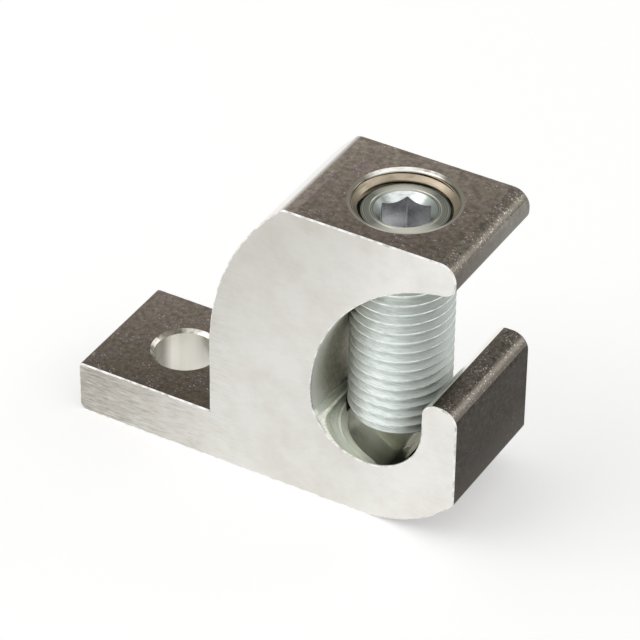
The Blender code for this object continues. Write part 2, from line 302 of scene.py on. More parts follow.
@dataclass(frozen=True)
class SawnTinPlate(MetalFinish):
    """Matt tin plate on the saw-cut face: pale, satin, with fine marks along the foot."""

    stain: str = "#DBD5CD"
    stain_at: Span = (0.4, 0.7)
    stain_share: float = 0.45
    # Painted shade: these fades darken the face away from the lip, most at the foot's end and
    # towards the shoulder
    painted_shade: tuple[Fade, ...] = (
        Fade(21.0, 12.0, "#F4F4F3", blend="MULTIPLY"),
        Fade(-6.0, -27.0, "#DCD9D5", blend="MULTIPLY"),
        Fade(13.5, 26.0, "#ECEBE9", TO_SHOULDER, blend="MULTIPLY"),
    )
    mark: str = "#77756F"
    mark_at: Span = (0.5, 0.7)
    mark_share: float = 0.6
    streak: str = "#F1F0ED"
    streak_at: Span = (0.46, 0.32)
    streak_share: float = 0.4
    # A saw leaves lines of about 0.1 mm: they are drawn coarser, so that they show
    kerf_mm: Direction = (1.8, 1.8, 0.24)
    kerf_depth_mm: float = 0.012
    cloud_mm: float = 4.0
    marked_mm: Span = (-24.0, -3.0)
    marks_elsewhere: float = 0.06

    def pattern(self, tree: Tree, shader: Node, place: Socket) -> None:
        """Adds the saw's marks, faint stains and painted shade that greys the foot end and the
        shoulder.

        Args:
            tree: The material's nodes.
            shader: Its Principled shader.
            place: Coordinates in metres.
        """
        kerf = self.grain(tree, place, self.kerf_mm, detail=4.0)
        cloud = self.grain(tree, place, (self.cloud_mm,) * 3, detail=4.0)
        stained_and_shaded = self.toned(
            tree, cloud, self.stain_at, self.colour, self.stain, self.stain_share,
        )
        for fade in self.painted_shade:
            stained_and_shaded = self.faded(tree, place, stained_and_shaded, fade)
        along = add_node(tree, "ShaderNodeSeparateXYZ", {"Vector": place}).outputs["X"]
        cuts = add_node(
            tree, "ShaderNodeMapRange",
            {"Value": along, "From Min": self.marked_mm[0] * MM, "From Max": self.marked_mm[1] * MM,
             "To Min": 1.0, "To Max": self.marks_elsewhere},
        ).outputs["Result"]
        dark = self.toned(tree, kerf, self.mark_at, stained_and_shaded, self.mark, self.mark_share)
        both = self.toned(tree, kerf, self.streak_at, dark, self.streak, self.streak_share)
        marked = add_node(
            tree, "ShaderNodeMix", {MIX_SHARE: cuts, MIX_UNDER: stained_and_shaded, MIX_OVER: both},
            data_type="RGBA",
        )
        tree.links.new(marked.outputs[MIX_RESULT], shader.inputs["Base Color"])
        height = add_node(tree, "ShaderNodeMath", {0: kerf, 1: cuts}, operation="MULTIPLY")
        bump = add_node(
            tree, "ShaderNodeBump",
            {"Height": height.outputs[0], "Distance": self.kerf_depth_mm * MM},
        )
        tree.links.new(bump.outputs["Normal"], shader.inputs["Normal"])


@dataclass(frozen=True)
class ExtrudedSkin(MetalFinish):
    """Tin plate over the extruded skin: dark and mottled, with painted glints here and there."""

    light: str = "#8F8578"
    light_at: Span = (0.36, 0.68)
    tinge: str = "#736567"
    tinge_at: Span = (0.42, 0.68)
    glint: str = "#C4BDB1"
    glint_at: Span = (0.35, 0.6)
    cloud_mm: float = 2.8
    patch_mm: float = 0.7
    # Tin crystals measure about 0.1 mm: they are drawn coarser, so that they show; the painted
    # glints sit on the same grain
    grain_mm: float = 0.26
    grain_depth_mm: float = 0.025
    glint_from: float = 0.67
    glint_fade: float = 0.08
    gloss_change: float = 0.06
    gloss_at: Span = (0.3, 0.7)
    die_line_mm: Direction = (0.2, 14.0, 0.2)
    die_depth_mm: float = 0.006

    def pattern(self, tree: Tree, shader: Node, place: Socket) -> None:
        """Adds the mottled plate, painted glints on its grain and faint lines left by the die.

        Args:
            tree: The material's nodes.
            shader: Its Principled shader.
            place: Coordinates in metres.
        """
        fine = self.grain(tree, place, (self.grain_mm,) * 3, detail=1.0)
        patch = self.grain(tree, place, (self.patch_mm,) * 3, detail=4.0)
        cloud = self.grain(tree, place, (self.cloud_mm,) * 3, detail=2.0)
        tinged = self.toned(tree, cloud, self.tinge_at, self.colour, self.tinge)
        patched = self.toned(tree, patch, self.light_at, tinged, self.light)
        mottled = self.faded(tree, place, patched, self.fade)
        glinting = (self.glint_from, self.glint_from + self.glint_fade)
        # Painted glints: bright spots of base colour on the finest grain, thinned out by the clouds
        with_painted_glints = self.toned(tree, fine, glinting, mottled, self.glint)
        sparse = self.toned(tree, cloud, self.glint_at, mottled, with_painted_glints)
        tree.links.new(sparse, shader.inputs["Base Color"])
        rough = add_node(
            tree, "ShaderNodeMapRange",
            {"Value": patch, "From Min": self.gloss_at[0], "From Max": self.gloss_at[1],
             "To Min": self.roughness - self.gloss_change,
             "To Max": self.roughness + self.gloss_change},
        )
        tree.links.new(rough.outputs["Result"], shader.inputs["Roughness"])
        die = self.grain(tree, place, self.die_line_mm, detail=2.0)
        die_depth, grain_depth = self.die_depth_mm * MM, self.grain_depth_mm * MM
        lines = add_node(tree, "ShaderNodeBump", {"Height": die, "Distance": die_depth})
        bump = add_node(
            tree, "ShaderNodeBump",
            {"Height": fine, "Distance": grain_depth, "Normal": lines.outputs["Normal"]},
        )
        tree.links.new(bump.outputs["Normal"], shader.inputs["Normal"])


@dataclass(frozen=True)
class BurnishedSaddle(MetalFinish):
    """The saddle's skin, smoothed by the die's mandrel: it mirrors the screw's thread."""

    light: str = "#F0EFE6"
    light_at: Span = (0.35, 0.7)
    cloud_mm: float = 3.0
    die_line_mm: Direction = (0.35, 16.0, 0.35)
    die_depth_mm: float = 0.006

    def pattern(self, tree: Tree, shader: Node, place: Socket) -> None:
        """Adds faint lines along the extrusion and slow changes of tone.

        Args:
            tree: The material's nodes.
            shader: Its Principled shader.
            place: Coordinates in metres.
        """
        cloud = self.grain(tree, place, (self.cloud_mm,) * 3, detail=2.0)
        tone = self.toned(tree, cloud, self.light_at, self.colour, self.light)
        tree.links.new(self.faded(tree, place, tone, self.fade), shader.inputs["Base Color"])
        die = self.grain(tree, place, self.die_line_mm, detail=2.0)
        bump = add_node(tree, "ShaderNodeBump", {"Height": die, "Distance": self.die_depth_mm * MM})
        tree.links.new(bump.outputs["Normal"], shader.inputs["Normal"])


@dataclass(frozen=True)
class TurnedPlate(MetalFinish):
    """Plate over a drilled, turned or rolled surface, with rings left by the tool."""

    tint: str
    ring_mm: float = 0.18
    ring_length_mm: float = 4.0
    depth_mm: float = 0.004
    cloud_mm: Direction = (2.5, 2.5, 2.5)
    cloud_at: Span = (0.4, 0.7)
    cloud_share: float = 0.8
    # Painted shade: the tone of a ring's sides round the screw, square to the back corner
    side: str | None = None
    side_share: float = 0.95
    bow_tie: Span = (0.88, 0.68)

    def pattern(self, tree: Tree, shader: Node, place: Socket) -> None:
        """Adds the tool's rings, a change of tint and, round the screw, painted shade on the sides.

        Args:
            tree: The material's nodes.
            shader: Its Principled shader.
            place: Coordinates in metres.
        """
        cloud = self.grain(tree, place, self.cloud_mm, detail=2.0)
        tone = self.toned(
            tree, cloud, self.cloud_at, self.colour, self.tint, self.cloud_share,
        )
        tone = self.faded(tree, place, tone, self.fade)
        if self.side is not None:
            glare = self.glare(tree, place)
            tone = self.toned(tree, glare, self.bow_tie, tone, self.side, self.side_share)
        tree.links.new(tone, shader.inputs["Base Color"])
        ring = (self.ring_length_mm, self.ring_length_mm, self.ring_mm)
        rings = self.grain(tree, place, ring, detail=2.0)
        bump = add_node(tree, "ShaderNodeBump", {"Height": rings, "Distance": self.depth_mm * MM})
        tree.links.new(bump.outputs["Normal"], shader.inputs["Normal"])


@dataclass(frozen=True)
class FacedPlate(MetalFinish):
    """Plate over a faced end: dull, with rings round the screw's axis and a painted bow-tie of
    glare.
    """

    ring_mm: float = 0.16
    depth_mm: float = 0.012
    light: str = "#7C7E72"
    light_at: Span = (0.4, 0.65)
    bright: str = "#C6C6BA"
    bright_share: float = 0.9
    bow_tie: Span = (0.6, 1.0)

    def pattern(self, tree: Tree, shader: Node, place: Socket) -> None:
        """Adds the rings that the facing tool leaves and a painted bow-tie of the glare that such
        rings give.

        Args:
            tree: The material's nodes.
            shader: Its Principled shader.
            place: Coordinates in metres.
        """
        flat = add_node(
            tree, "ShaderNodeMapping",
            {"Vector": place, "Location": [-mm * MM for mm in SCREW_AXIS_MM], "Scale": LEVEL},
        )
        radius = add_node(
            tree, "ShaderNodeVectorMath", {0: flat.outputs["Vector"]}, operation="LENGTH",
        ).outputs["Value"]
        rings = add_node(
            tree, "ShaderNodeTexNoise", {"W": radius, "Scale": per(self.ring_mm), "Detail": 2.0},
            noise_dimensions="1D",
        ).outputs["Fac"]
        ringed = self.toned(tree, rings, self.light_at, self.colour, self.light)
        glare = self.glare(tree, place)
        glared = self.toned(tree, glare, self.bow_tie, ringed, self.bright, self.bright_share)
        tree.links.new(glared, shader.inputs["Base Color"])
        bump = add_node(tree, "ShaderNodeBump", {"Height": rings, "Distance": self.depth_mm * MM})
        tree.links.new(bump.outputs["Normal"], shader.inputs["Normal"])


SKIN_TONE = "#6A6257"

FINISHES: dict[Finish, MetalFinish] = {
    # Saw-cut aluminium under matt tin plate: broad soft reflections, nearly white, with painted
    # shade away from the lip
    Finish.SAWN: SawnTinPlate("#EDECE8", 0.42),
    # Edge broken with a file before plating: a thin bright line round each sawn face
    Finish.DEBURRED: TurnedPlate(
        "#F8F7F4", 0.3, tint="#86827A", cloud_mm=(1.1, 1.1, 1.1), cloud_share=0.6,
    ),
    # Tin over the die-finished skin: dark brown-grey and mottled, with a few painted glints;
    # painted shade darkens it towards the front, the bottom and the lip's side
    Finish.SKIN: ExtrudedSkin(
        SKIN_TONE, 0.34, edge=0.8,
        fade=Fade(31.0, 4.0, "#A9A7A3", TO_TOP_BACK_CORNER, blend="MULTIPLY"),
    ),
    # Painted highlight on the plate's rounded ridge: more painted glints make a faintly glittering
    # band, painted lighter towards the plate's end
    Finish.PLATE_RIDGE_GLINTS: ExtrudedSkin(
        "#4F4A42", 0.32, light="#726C61", tinge="#5A5150", glint="#ABA59B",
        glint_from=0.58, edge=0.8, fade=Fade(26.9, 27.9, "#6E6A62", share=0.8),
    ),
    # Painted shade: the lip's ridge is painted darker than the plate's, with fewer and duller
    # painted glints and a lighter outer edge
    Finish.LIP_RIDGE: ExtrudedSkin(
        "#413C35", 0.32, light="#625C53", tinge="#4A4240", glint="#A9A39A",
        glint_from=0.6, edge=0.75, fade=Fade(27.7, 28.4, "#77726A", share=0.75),
    ),
    # Painted highlight: the same skin, painted near white over the shoulder's crest
    Finish.SHOULDER: ExtrudedSkin(SKIN_TONE, 0.3, fade=Fade(3.2, 2.2, "#EFEDE9")),
    # Further down the shoulder the painted highlight fades back into the dark skin
    Finish.BACK: ExtrudedSkin(SKIN_TONE, 0.34, fade=Fade(-4.6, -2.5, "#EFEDE9")),
    # Painted reflection: the plate's outer end is painted lighter and greyer than its top, with
    # painted shade towards the front
    Finish.PLATE_END: ExtrudedSkin(
        "#7E7B73", 0.36, light="#94918A", tinge="#88857D", glint_from=0.7, edge=0.7,
        fade=Fade(5.0, -10.0, "#5E5850", ALONG_EXTRUSION, 0.75),
    ),
    # Painted shade: the lip's flat outer face is painted the darkest, a little lighter low down
    Finish.LIP_FACE: ExtrudedSkin(
        "#39352E", 0.36, light="#56504A", tinge="#3E3935", glint="#857F76", edge=0.65,
        fade=Fade(12.0, 6.5, "#615B53", UPWARD, 0.8),
    ),
    # The wall behind the screw keeps a dull skin and mirrors nothing; painted light makes its front
    # lighter
    Finish.ARCH: ExtrudedSkin(
        "#AFAA9C", 0.5, light="#C8C5B8", tinge="#B3AD9D", glint="#E4E1D6", glint_from=0.62,
        fade=Fade(-5.8, -9.2, "#F0EFE8", ALONG_EXTRUSION),
    ),
    # The lip's inner round is as smooth as the saddle: a bright strip that mirrors the screw
    Finish.LIP_INSIDE: BurnishedSaddle("#F2F1EB", 0.12),
    # The same plate on the smoothest part of the section: clear reflections, with painted shade
    # darker towards the lip
    Finish.SADDLE: BurnishedSaddle("#F4F3E6", 0.035, fade=Fade(14.0, 19.5, "#6A695E")),
    # The countersink's cone: bright and slightly yellow, with painted shade on the sides and
    # towards the front
    Finish.DRILLED: TurnedPlate(
        "#FCFBF7", 0.2, tint="#ECE8DE", side="#5F5A4E",
        fade=Fade(-2.0, -4.4, "#8A8474", TO_BACK_CORNER, 0.95),
    ),
    # The countersink's rim is peened over: short bright and dull stretches, with painted shade on
    # the sides and towards the front
    Finish.RIM: TurnedPlate(
        "#FBF9F3", 0.28, tint="#A39C8D", cloud_mm=(1.4, 1.4, 1.4), side="#736E63",
        fade=Fade(-2.4, -4.4, "#B0AA9C", TO_BACK_CORNER, 0.85),
    ),
    # The bolt hole's drill has left broad, faint stripes down its wall; painted shade darkens the
    # wall nearest the foot's end
    Finish.BORED: TurnedPlate(
        "#F8F6EF", 0.26, tint="#A19E94", cloud_mm=(2.5, 2.5, 30.0), cloud_share=0.2,
        fade=Fade(-21.8, -22.4, "#6B675F", share=0.7),
    ),
    # The bolt hole's edge is broken by hand: short bright and dark stretches
    Finish.FILED: TurnedPlate(
        "#CFCCC2", 0.3, tint="#45413B", cloud_mm=(1.6, 1.6, 1.6), cloud_share=0.9,
    ),
    # The tap leaves the plate's thread duller than the drill does, and browner; painted shade
    # darkens it towards the front
    Finish.TAPPED: TurnedPlate(
        "#B8AA96", 0.4, tint="#8C8672", cloud_mm=(2.5, 2.5, 0.5), cloud_share=0.9,
        fade=Fade(-2.6, -5.2, "#6E6656", TO_BACK_CORNER, 0.85),
    ),
    # Bright zinc plate with a clear blue passivate: pale blue-green, streaked by the rolled thread;
    # painted shade darkens the side towards the lip
    Finish.ZINC: TurnedPlate(
        "#EAEFED", 0.54, tint="#C6CDC9", ring_mm=0.1, depth_mm=0.01,
        cloud_mm=(1.6, 1.6, 0.1), fade=Fade(17.5, 21.8, "#A6ACA7", share=0.8),
    ),
    # Handling has rubbed the thread's crests smoother than its flanks, and they are painted
    # brighter as a painted highlight: fine bright lines
    Finish.CREST: TurnedPlate("#F8FAF9", 0.48, tint="#B9BFBB", cloud_mm=(1.2, 1.2, 0.4)),
    # The socket's turned mouth: a painted highlight at the back, and painted shade on the sides and
    # towards the front
    Finish.MOUTH: TurnedPlate(
        "#ECF1F0", 0.36, tint="#C2C9C5", cloud_mm=(0.9, 0.9, 0.3), side="#7E847F",
        fade=Fade(-4.6, -6.2, "#8C928D", TO_BACK_CORNER, 0.95),
    ),
    # The screw's turned end face: the same plate, painted dark grey as painted shade over the
    # tool's rings
    Finish.FACED: FacedPlate("#5A5C55", 0.3),
    # The groove round the end face is painted a little brighter, as a painted highlight
    Finish.GROOVE: FacedPlate("#8A8C83", 0.3, light="#B4B5AC"),
    # Painted shade: the chamfer over the thread's end lies in the plate's shade, so it is painted
    # dark olive
    Finish.CHAMFER: TurnedPlate("#7A7C71", 0.42, tint="#5C5E54"),
    # The tip's end: the same rings under brighter plate, with the same painted bow-tie of glare
    Finish.TIP: FacedPlate("#C6C8C0", 0.3, light="#E6E7E0", bright="#E6E7E0"),
    # Plate deep in the broached socket: blue-grey
    Finish.SOCKET: TurnedPlate("#DDDDDD", 0.26, tint="#B4B5B9", depth_mm=0.002),
}


def steps_in(angle: float) -> int:
    """How many steps of the section's arcs an angle in radians holds."""
    return round(angle / ARC_STEP)


def arc(
    centre: Point, radius: float, start: float, end: float, step: float = ARC_STEP,
) -> list[Point]:
    """Points along an arc, both ends included.

    Args:
        centre: The arc's centre.
        radius: Its radius.
        start: First angle in radians, from the first axis.
        end: Last angle.
        step: Largest angle between two points.

    Returns:
        The points in order.
    """
    steps = max(2, math.ceil(abs(end - start) / step))
    angles = [start + (end - start) * i / steps for i in range(steps + 1)]
    return [(centre[0] + radius * math.cos(a), centre[1] + radius * math.sin(a)) for a in angles]


class Workshop:
    """Makes each finish's material once and the helper objects that shape the pieces."""

    def __init__(self) -> None:
        """Starts with no materials."""
        self.materials: dict[Finish, bpy.types.Material] = {}

    def material(self, finish: Finish) -> bpy.types.Material:
        """Gives a finish's material, made on first use.

        Args:
            finish: The surface wanted.

        Returns:
            Its material.
        """
        if finish not in self.materials:
            self.materials[finish] = FINISHES[finish].material(finish.value)
        return self.materials[finish]

    def finished_mesh(self, name: str, work: bmesh.types.BMesh, finishes: list[Finish]) -> Mesh:
        """Turns a bmesh into a mesh with one material slot for each finish.

        Args:
            name: The mesh's name.
            work: The bmesh, which is freed.
            finishes: The finishes in the order of the faces' material numbers.

        Returns:
            The new mesh.
        """
        bmesh.ops.recalc_face_normals(work, faces=work.faces)
        mesh = bpy.data.meshes.new(name)
        work.to_mesh(mesh)
        work.free()
        for finish in finishes:
            mesh.materials.append(self.material(finish))
        return mesh

    def place(self, mesh: Mesh) -> Piece:
        """Puts a mesh into the scene as an object at the origin.

        Args:
            mesh: The mesh, whose name the object takes.

        Returns:
            The new object.
        """
        piece = bpy.data.objects.new(mesh.name, mesh)
        bpy.context.scene.collection.objects.link(piece)
        return piece

    def turned(
        self, name: str, runs: list[tuple[Finish, list[Point]]], axis_x: float, steps: int
    ) -> Piece:
        """Makes a closed solid of revolution about a vertical axis.

        Args:
            name: Name of the object.
            runs: The profile from the axis and back to it, in stretches of radius, height
                points, each with the finish of its faces.
            axis_x: Where the axis stands along X.
            steps: Faces round the axis.

        Returns:
            The new object.
        """
        finishes = list(dict.fromkeys(finish for finish, _ in runs))
        profile = [(point, finish) for finish, points in runs for point in points]
        work = bmesh.new()
        rings = []
        for (radius, height), _ in profile:
            angles = [math.tau * i / steps for i in range(steps if radius > WELD else 1)]
            rings.append([
                work.verts.new((axis_x + radius * math.cos(a), radius * math.sin(a), height))
                for a in angles
            ])
        for ring, following, (_, finish) in zip(rings, rings[1:], profile):
            for i in range(steps):
                j = (i + 1) % steps
                corners = [ring[i % len(ring)], ring[j % len(ring)]]
                corners += [following[j % len(following)], following[i % len(following)]]
                face = work.faces.new(list(dict.fromkeys(corners)))
                face.material_index = finishes.index(finish)
        return self.place(self.finished_mesh(name, work, finishes))

    def combine(self, piece: Piece, tool: Piece, operation: str) -> None:
        """Cuts a piece with a tool object, keeps the tool's finish on the cut and removes the tool.

        Args:
            piece: The object to cut, whose mesh is replaced.
            tool: The cutting object.
            operation: DIFFERENCE or INTERSECT.
        """
        boolean = piece.modifiers.new("cut", "BOOLEAN")
        boolean.operation = operation
        boolean.solver = "EXACT"
        boolean.material_mode = "TRANSFER"
        boolean.object = tool
        bpy.context.view_layer.update()
        evaluated = piece.evaluated_get(bpy.context.evaluated_depsgraph_get())
        mesh = bpy.data.meshes.new_from_object(evaluated)
        piece.modifiers.clear()
        mesh.name = piece.name
        piece.data = mesh
        bpy.data.objects.remove(tool, do_unlink=True)

    def smooth(self, piece: Piece, degrees: float) -> None:
        """Shades a piece smooth, apart from edges sharper than an angle."""
        piece.data.shade_smooth()
        piece.data.set_sharp_from_angle(angle=math.radians(degrees))


WORKSHOP = Workshop()


@dataclass(frozen=True)
class Thread:
    """A right-handed 60 degree thread with rounded crests and roots."""

    diameter: float = 14.0 * MM
    pitch: float = 1.5 * MM
    depth: float = 0.92 * MM
    crest: float = 0.19 * MM
    crest_corner: float = 0.05 * MM
    root_corner: float = 0.08 * MM
    first_crest_z: float = 11.8 * MM
    half_angle: float = math.radians(30.0)
    corner_ease: float = 0.3
    steps_per_turn: int = 72
    spare_turns: int = 1

    def half_width(self, depth: float) -> float:
        """Half of the ridge's width at a depth under the crest."""
        return self.crest / 2 + depth * math.tan(self.half_angle)

    def profile(self, grow: float) -> list[Point]:
        """One pitch of the thread, going down from the middle of a crest.

        Args:
            grow: How far the surface is moved outward, for the thread of a nut.

        Returns:
            Radius, height points, the last one pitch below the first.
        """
        slack = grow / math.cos(self.half_angle)
        top = self.diameter / 2 + grow
        corner = self.crest_corner
        root = self.depth - self.root_corner
        half = [
            (top, 0.0),
            (top, self.half_width(0.0) + slack - corner),
            (top - corner * self.corner_ease, self.half_width(0.0) + slack),
            (top - corner, self.half_width(corner) + slack),
            (top - root, self.half_width(root) + slack),
            (top - self.depth + self.root_corner * self.corner_ease,
             self.half_width(self.depth) + slack),
            (top - self.depth, self.pitch / 2),
        ]
        down = [(r, -z) for r, z in half]
        up = [(r, z - self.pitch) for r, z in reversed(half[:-1])]
        return down + up

    def rod(
        self, name: str, low: float, high: float, axis_x: float, grow: float, flank: Finish,
        crest: Finish,
    ) -> Piece:
        """Makes a closed threaded rod that reaches past two heights.

        Args:
            name: Name of the object.
            low: Height that the rod starts below.
            high: Height that the rod ends above.
            axis_x: Where the axis stands along X.
            grow: How far the surface is moved outward.
            flank: Finish of the thread's flanks and roots.
            crest: Finish of its crests.

        Returns:
            The new object.
        """
        steps = self.steps_per_turn
        first = math.floor((low - self.first_crest_z) / self.pitch) - self.spare_turns
        turns = math.ceil((high - low) / self.pitch) + 2 * self.spare_turns + 1
        profile = self.profile(grow)
        # The crest's flat and the start of its round, at both ends of the profile
        crest_faces = (0, 1, len(profile) - 3, len(profile) - 2)
        work = bmesh.new()
        rows = []
        for i in range(turns * steps + 1):
            angle = math.tau * i / steps
            lift = self.first_crest_z + (first + i / steps) * self.pitch
            rows.append([
                work.verts.new((axis_x + r * math.cos(angle), r * math.sin(angle), z + lift))
                for r, z in profile
            ])
        for row, following in zip(rows, rows[1:]):
            for j in range(len(profile) - 1):
                face = work.faces.new((row[j], row[j + 1], following[j + 1], following[j]))
                face.material_index = 1 if j in crest_faces else 0
        bmesh.ops.remove_doubles(work, verts=work.verts, dist=WELD)
        open_edges = [edge for edge in work.edges if edge.is_boundary]
        ends = bmesh.ops.holes_fill(work, edges=open_edges, sides=0)
        bmesh.ops.poke(work, faces=ends["faces"])
        return WORKSHOP.place(WORKSHOP.finished_mesh(name, work, [flank, crest]))


@dataclass
class SetScrew:
    """The hex socket set screw, threaded over its whole length and zinc plated."""

    axis_x: float = 15.25 * MM
    top_z: float = 42.9 * MM
    tip_z: float = 11.1 * MM
    top_chamfer: float = 1.2 * MM
    tip_chamfer: float = 0.9 * MM
    shoulder_round: float = 0.3 * MM
    shoulder_half_turn: float = math.radians(22.5)
    ring_radius: float = 4.5 * MM
    ring_width: float = 0.2 * MM
    ring_depth: float = 0.07 * MM
    cup_radius: float = 2.3 * MM
    cup_depth: float = 0.9 * MM
    socket_width: float = 6.35 * MM
    socket_depth: float = 6.5 * MM
    socket_mouth: float = 8.3 * MM
    socket_corner: float = math.radians(55.0)
    socket_edge_round: float = 0.15 * MM
    socket_edge_steps: int = 3
    point_angle: float = math.radians(59.0)
    point_clearance: float = 0.05 * MM
    blank_over: float = 0.06 * MM
    blank_facets: int = 100
    tool_facets: int = 72
    smooth_below_degrees: float = 32.0
    thread: Thread = field(default_factory=Thread)

    def blank(self) -> Piece:
        """Makes the turned blank: ringed end, rounded shoulder, chamfers and a cup in the tip.

        Returns:
            The closed blank.
        """
        radius = self.thread.diameter / 2
        outside = radius + self.blank_over
        cut_back = self.shoulder_round * math.tan(self.shoulder_half_turn)
        shoulder = radius - self.top_chamfer - cut_back
        centre = (shoulder, self.top_z - self.shoulder_round)
        rounded = arc(centre, self.shoulder_round, math.pi / 2, math.pi / 4, SMALL_ARC_STEP)
        slope = self.ring_depth
        ring = [
            (self.ring_radius, self.top_z),
            (self.ring_radius + slope, self.top_z - self.ring_depth),
            (self.ring_radius + self.ring_width - slope, self.top_z - self.ring_depth),
        ]
        edge = [(self.ring_radius + self.ring_width, self.top_z)]
        end = rounded[-1]
        chamfers = [
            (outside, end[1] - (outside - end[0])),
            (outside, self.tip_z + self.tip_chamfer + outside - radius),
            (radius - self.tip_chamfer, self.tip_z),
        ]
        tip = [(self.cup_radius, self.tip_z), (0.0, self.tip_z + self.cup_depth)]
        runs = [
            (Finish.FACED, [(0.0, self.top_z)]), (Finish.GROOVE, ring),
            (Finish.FACED, edge + rounded[:-1]), (Finish.CHAMFER, rounded[-1:]),
            (Finish.ZINC, chamfers), (Finish.TIP, tip),
        ]
        return WORKSHOP.turned("screw_blank", runs, self.axis_x, self.blank_facets)

    def hexagon(self) -> Piece:
        """Makes the six-sided tool that cuts the socket.

        Returns:
            The closed prism.
        """
        corner = self.socket_width / 2 / math.cos(math.pi / 6)
        low = self.top_z - self.socket_depth
        height = self.socket_depth + 2 * OVER
        work = bmesh.new()
        turn = Matrix.Rotation(self.socket_corner - math.pi / 2, 4, "Z")
        place = Matrix.Translation((self.axis_x, 0.0, low + height / 2)) @ turn
        bmesh.ops.create_cone(
            work, cap_ends=True, segments=6, radius1=corner, radius2=corner, depth=height,
            matrix=place,
        )
        upright = [
            edge for edge in work.edges
            if abs(edge.verts[0].co.z - edge.verts[1].co.z) > height / 2
        ]
        bmesh.ops.bevel(
            work, geom=upright, offset=self.socket_edge_round,
            segments=self.socket_edge_steps, affect="EDGES", profile=0.5,
        )
        return WORKSHOP.place(WORKSHOP.finished_mesh("socket_tool", work, [Finish.SOCKET]))

    def build(self) -> Piece:
        """Threads the blank, cuts the socket and makes the piece ride on the screw's body.

        Returns:
            The finished piece.
        """
        screw = self.thread.rod(
            "threaded_set_screw", self.tip_z, self.top_z, self.axis_x, 0.0, Finish.ZINC,
            Finish.CREST,
        )
        WORKSHOP.combine(screw, self.blank(), "INTERSECT")
        WORKSHOP.combine(screw, self.hexagon(), "DIFFERENCE")
        floor_z = self.top_z - self.socket_depth
        drilled = self.socket_width / 2 - self.point_clearance
        point = [
            (0.0, floor_z + self.point_clearance),
            (drilled, floor_z + self.point_clearance),
            (0.0, floor_z - drilled / math.tan(self.point_angle)),
        ]
        mouth = self.socket_mouth / 2
        above = self.top_z + OVER
        cone = [(0.0, above), (mouth + OVER, above), (0.0, self.top_z - mouth)]
        for name, finish, profile in (
            ("point_tool", Finish.SOCKET, point), ("mouth_tool", Finish.MOUTH, cone),
        ):
            tool = WORKSHOP.turned(name, [(finish, profile)], self.axis_x, self.tool_facets)
            WORKSHOP.combine(screw, tool, "DIFFERENCE")
        WORKSHOP.smooth(screw, self.smooth_below_degrees)
        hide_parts("set_screw")
        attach(screw, "screw")
        return screw


